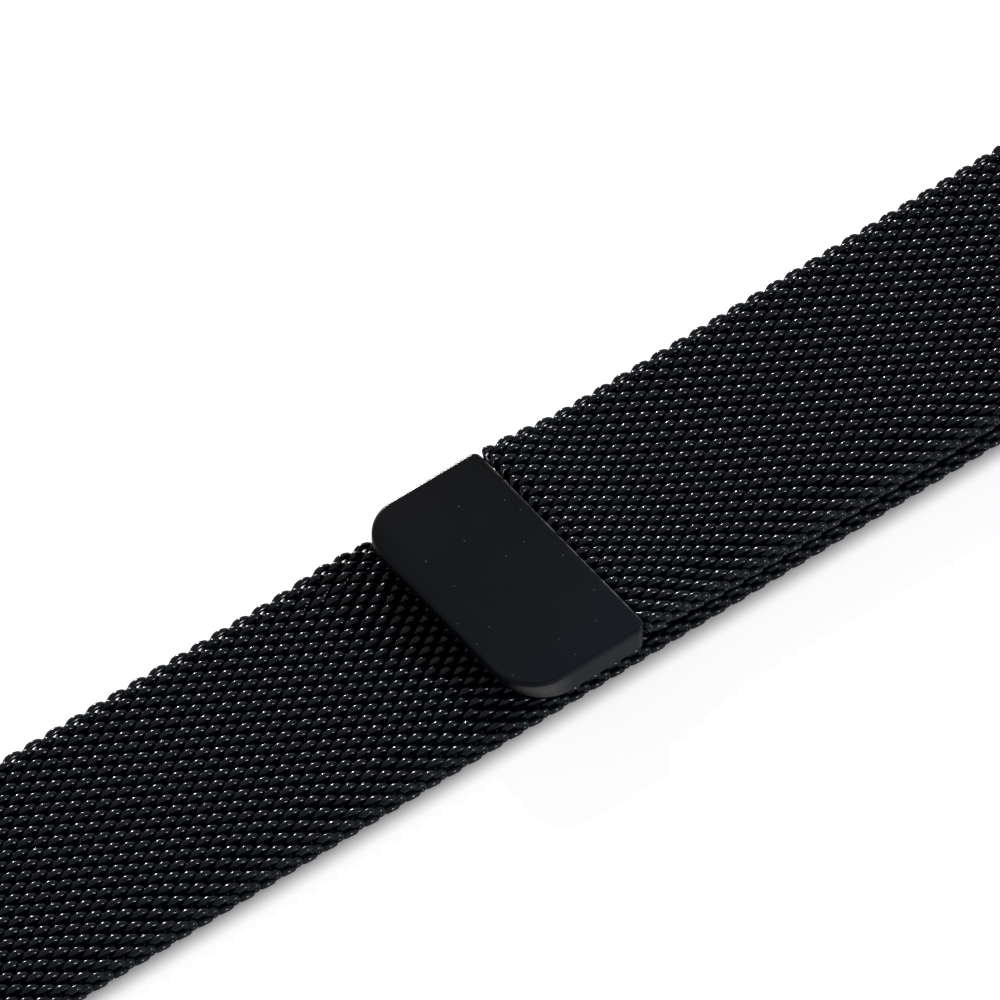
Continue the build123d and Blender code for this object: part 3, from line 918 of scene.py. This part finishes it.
# Parts of the cover, as distances inwards from its faces
ROOF_DEPTH = (0.03 * MM, 0.01 * MM)
WALL_DEPTH = (0.25 * MM, 0.4 * MM)
SHEEN_AND_WEAR_WIDTH = (0.22 * MM, 0.05 * MM)
RIM_WIDTH = (0.4 * MM, 0.25 * MM)
# Where the painted reflection of the floor lies on the near wall under the lip
FLOOR_REFLECTION_LENGTH = (4.6 * MM, 2.2 * MM)
FLOOR_REFLECTION_WIDTH = (2.2 * MM, 1.0 * MM)
DUST_CELLS = 620.0
DUST_RADIUS = (0.015, 0.04)
DUST_SHARE = 0.26


def satin_cover(colours):
    """Satin black plated steel of the tab, with a few specks of dust on its roof, painted shade that darkens the roof
    towards its far side, a lighter line along the mesh-side edge that is partly wear and partly painted highlight,
    and a painted reflection of the floor on the near wall under the lip.
    """
    finish = Finish("satin_cover", Metallic=0.0, Specular_IOR_Level=COVER_GLOSS)
    grain = finish.noise(26000, 2.0)
    patches = finish.noise(260, 3.0)
    x, y, z = (finish.along(axis) for axis in "XYZ")
    roof = z.ramp(*(TAB_HIGH.z - depth for depth in ROOF_DEPTH))
    wall = z.ramp(*(TAB_HIGH.z - depth for depth in WALL_DEPTH))
    rim = y.ramp(*(TAB_LOW.y + width for width in RIM_WIDTH)) * (1 - roof) * (1 - wall)
    # Painted reflection of the floor: a lighter patch on the near wall under the lip, by the free end.
    corner = x.ramp(*(TAB_LOW.x + length for length in FLOOR_REFLECTION_LENGTH))
    lip = corner * y.ramp(*(TAB_LOW.y + width for width in FLOOR_REFLECTION_WIDTH)) * wall
    # A lighter line along the mesh-side edge of the roof, partly wear and partly a painted highlight of that edge.
    edge_sheen_and_wear = x.ramp(*(TAB_HIGH.x - width for width in SHEEN_AND_WEAR_WIDTH)) * finish.noise(1500, 2.0).ramp(0.36, 0.60)
    cells = {"voronoi_dimensions": "2D"}
    spots = {"Vector": finish.place(), "Scale": DUST_CELLS}
    near = 1 - finish.node("TexVoronoi", cells, spots, "Distance").ramp(*DUST_RADIUS)
    chance = finish.node("SeparateColor", {}, {"Color": finish.node("TexVoronoi", cells, spots, "Color")}, "Red")
    few = chance > 1 - DUST_SHARE
    dust = near * few * roof
    # Painted shade: the plating is darker towards the far side of the roof and lighter towards the near side, with a
    # little random tone.
    painted_shade_across = y.ramp(TAB_HIGH.y, TAB_LOW.y) * 0.9 + patches * 0.1
    plated = finish.mix(painted_shade_across, shade(colours.cover, 0.3), shade(colours.cover, 1.9))
    # The plating with its painted shade, under the painted highlight and wear along the mesh-side edge.
    painted_light_and_wear = finish.mix(edge_sheen_and_wear, plated, shade(colours.dust, 2))
    finish.set(
        # The lighter patch on the near wall is a painted reflection of the floor; the specks on the roof are dust.
        Base_Color=finish.mix(dust, finish.mix(lip, painted_light_and_wear, shade(colours.dust, 0.9)), colours.dust),
        Roughness=0.33 - roof * 0.2 + rim * 0.3 + patches * 0.04 + grain * 0.04 + dust * 0.3,
    )
    finish.bump(grain + dust * 2, 0.0006 * MM)
    return finish.material


def polished_black(colours):
    """Black plating over polished steel, with fine handling scratches and a little wear where it rubs."""
    finish = Finish("polished_black", Metallic=0.0, Specular_IOR_Level=FITTING_GLOSS)
    scratches = finish.noise(4000, 3.0, (1, 0.06, 1))
    patches = finish.noise(500, 2.0)
    wear = finish.noise(1400, 4.0).ramp(0.60, 0.72)
    plated = finish.mix(patches, shade(colours.fittings, 0.8), shade(colours.fittings, 1.2))
    finish.set(
        Base_Color=finish.mix(wear * 0.5, plated, shade(colours.fittings, 3)),
        Roughness=0.14 + scratches * 0.10 + wear * 0.08,
    )
    finish.bump(scratches, 0.002 * MM)
    return finish.material


def drawn_steel(colours):
    """Bare spring bar steel with turning marks round its length and slightly dull patches."""
    finish = Finish("drawn_steel", Metallic=1.0)
    rings = finish.noise(9000, 2.0, (0.05, 1, 0.05))
    patches = finish.noise(700, 3.0)
    finish.set(
        Base_Color=finish.mix(patches, shade(colours.steel, 0.75), colours.steel),
        Roughness=0.22 + rings * 0.14 + patches * 0.06,
    )
    finish.bump(rings, 0.003 * MM)
    return finish.material


def blackened(name, colour, roughness):
    """Dark grained finish of the pieces under the cover."""
    finish = Finish(name, Metallic=0.0, Specular_IOR_Level=STEEL_GLOSS)
    grain = finish.noise(20000, 3.0)
    patches = finish.noise(600, 2.0)
    finish.set(
        Base_Color=finish.mix(patches, shade(colour, 0.75), shade(colour, 1.15)), Roughness=roughness + grain * 0.12
    )
    finish.bump(grain, 0.003 * MM)
    return finish.material


def nickel_plating(colours):
    """Bright nickel of the magnets, lightly scuffed."""
    finish = Finish("nickel_plating", Metallic=1.0)
    scuffs = finish.noise(2500, 4.0)
    finish.set(
        Base_Color=finish.mix(scuffs, shade(colours.plating, 0.8), colours.plating), Roughness=0.12 + scuffs * 0.16
    )
    finish.bump(scuffs, 0.002 * MM)
    return finish.material


class BAND_OT_metal_finishes(bpy.types.Operator):
    """Give each carried-over CAD node its finish"""

    bl_idname = "band.metal_finishes"
    bl_label = "Finishes of the metal pieces"

    def execute(self, context):
        colours = context.scene.band_colours
        black_steel = blackened("black_steel", colours.fittings, 0.34)
        finishes = {
            "black_mesh": black_steel,
            "satin_black": black_steel,
            "black_steel": black_steel,
            "polished_black": polished_black(colours),
            "plain_steel": drawn_steel(colours),
            "magnet_plating": nickel_plating(colours),
            "tray_plastic": blackened("tray_plastic", colours.tray, 0.55),
        }
        for row in frame["record"]["subparts"]:
            node = frame["nodes"][row["node"]]
            wire = row["node"].endswith("retaining_wire")
            node.data.materials.clear()
            node.data.materials.append(black_steel if wire else finishes[row["material_slot"]])
        return {"FINISHED"}


# The stage

LAMPS = (("back_lamp", (0.37, 0.85, 0.38)), ("front_lamp", (0.46, -0.86, 0.25)))
LAMP_SPREAD = math.radians(5)
SENSOR_WIDTH = 36
CLIP_START, CLIP_END = 0.01, 20
TARGET_HEIGHT = 2 * MM
AIM_UP, AIM_RIGHT = 6.957 * MM, 0.05 * MM

# The floor's own glow, which makes it white, starts beside the band and past its ends. It is left out under the band
# and fades in over a strip along its edges, a painted shadow that deepens the contact shadow there
FLOOR_GLOW = 0.62
GLOW_FROM, GLOW_TO = 9.6 * MM, 11.6 * MM
PAST_FROM, PAST_TO = 63.0 * MM, 66.0 * MM


def floor_finish(colours):
    """Plain white floor that keeps the object's shadow, with a painted shadow along the band where its glow is held
    back.
    """
    finish = Finish("white_floor")
    cloudy = finish.noise(3.0)
    finish.set(
        Base_Color=finish.mix(cloudy, shade(colours.floor, 0.99), colours.floor), Roughness=0.9 + cloudy * 0.02
    )
    # Painted shadow: no glow under the band, and less glow in a strip along its edges and ends, so the floor there is
    # darker.
    beside = abs(finish.along("Y")).ramp(GLOW_FROM, GLOW_TO, "SMOOTHSTEP")
    past = abs(finish.along("X")).ramp(PAST_FROM, PAST_TO, "SMOOTHSTEP")
    glow = finish.white_rays() * beside.or_more(past)
    finish.set(Emission_Color=finish.mix(glow, (0, 0, 0), (FLOOR_GLOW,) * 3), Emission_Strength=1.0)
    return finish.material


def light_the_room(world, strength):
    """Even white light all round; the camera and the gloss see it as plain white."""
    world.use_nodes = True
    room = NodeMaker(world.node_tree)
    background = world.node_tree.nodes["Background"]
    room.feed(background.inputs["Color"], (1, 1, 1, 1))
    room.feed(background.inputs["Strength"], room.white_rays() * (1 - strength) + strength)


class BAND_OT_stage(bpy.types.Operator):
    """Set up the floor, the lamps, the world and the camera"""

    bl_idname = "band.stage"
    bl_label = "Studio"

    def execute(self, context):
        stage = context.scene.stage_settings
        deselect()
        bpy.ops.mesh.primitive_plane_add(size=stage.floor_size)
        floor = bpy.context.object
        floor.name = "floor"
        floor.data.materials.append(floor_finish(context.scene.band_colours))
        for name, direction in LAMPS:
            deselect()
            bpy.ops.object.light_add(type="SUN", location=Vector(direction))
            lamp = bpy.context.object
            lamp.name = name
            lamp.rotation_euler = Vector(direction).to_track_quat("Z", "Y").to_euler()
            lamp.data.energy = getattr(stage, name)
            lamp.data.angle = LAMP_SPREAD
        context.scene.world = bpy.data.worlds.new("studio")
        light_the_room(context.scene.world, stage.room_light)
        azimuth, elevation = stage.camera_azimuth, stage.camera_elevation
        right = Vector((math.cos(azimuth), math.sin(azimuth), 0))
        level = Vector((-math.sin(azimuth), math.cos(azimuth), 0))
        forward = level * math.cos(elevation) - Vector((0, 0, 1)) * math.sin(elevation)
        up = level * math.sin(elevation) + Vector((0, 0, 1)) * math.cos(elevation)
        target = Vector((0, 0, TARGET_HEIGHT))
        aim = target + up * AIM_UP + right * AIM_RIGHT
        place = target - forward * stage.camera_distance
        deselect()
        bpy.ops.object.camera_add(location=place)
        camera = bpy.context.object
        camera.rotation_euler = (place - aim).to_track_quat("Z", "Y").to_euler()
        camera.data.lens = stage.lens
        camera.data.sensor_width = SENSOR_WIDTH
        camera.data.clip_start = CLIP_START
        camera.data.clip_end = CLIP_END
        context.scene.camera = camera
        context.scene.view_settings.view_transform = "Standard"
        return {"FINISHED"}


class BAND_PT_panel(bpy.types.Panel):
    """The sidebar panel of the mesh band"""

    bl_idname = "BAND_PT_panel"
    bl_label = "Mesh band"
    bl_space_type = "VIEW_3D"
    bl_region_type = "UI"
    bl_category = "Mesh band"

    def draw(self, context):
        for operator in OPERATORS:
            self.layout.operator(operator.bl_idname)
        for group in (getattr(context.scene, name) for name in SETTINGS):
            box = self.layout.box()
            for name in group.__annotations__:
                box.prop(group, name)


OPERATORS = (BAND_OT_mesh, BAND_OT_tab_cover, BAND_OT_bar_springs, BAND_OT_metal_finishes, BAND_OT_stage)
SETTINGS = {
    "mesh_sizes": MeshSizes,
    "tab_sizes": TabSizes,
    "bar_sizes": SpringBarSizes,
    "band_colours": BandColours,
    "stage_settings": StageSettings,
}
CLASSES = (*SETTINGS.values(), *OPERATORS, BAND_PT_panel)


def register():
    """Makes the operators, the panel and the settings known to Blender."""
    for item in CLASSES:
        bpy.utils.register_class(item)
    for name, group in SETTINGS.items():
        setattr(bpy.types.Scene, name, bpy.props.PointerProperty(type=group))


def unregister():
    """Takes the operators, the panel and the settings away again."""
    for name in SETTINGS:
        delattr(bpy.types.Scene, name)
    for item in reversed(CLASSES):
        bpy.utils.unregister_class(item)


def main():
    """Builds everything in order."""
    register()
    bpy.ops.band.mesh()
    bpy.ops.band.tab_cover()
    bpy.ops.band.bar_springs()
    bpy.ops.band.metal_finishes()
    bpy.ops.band.stage()


if __name__ == "__main__":
    main()
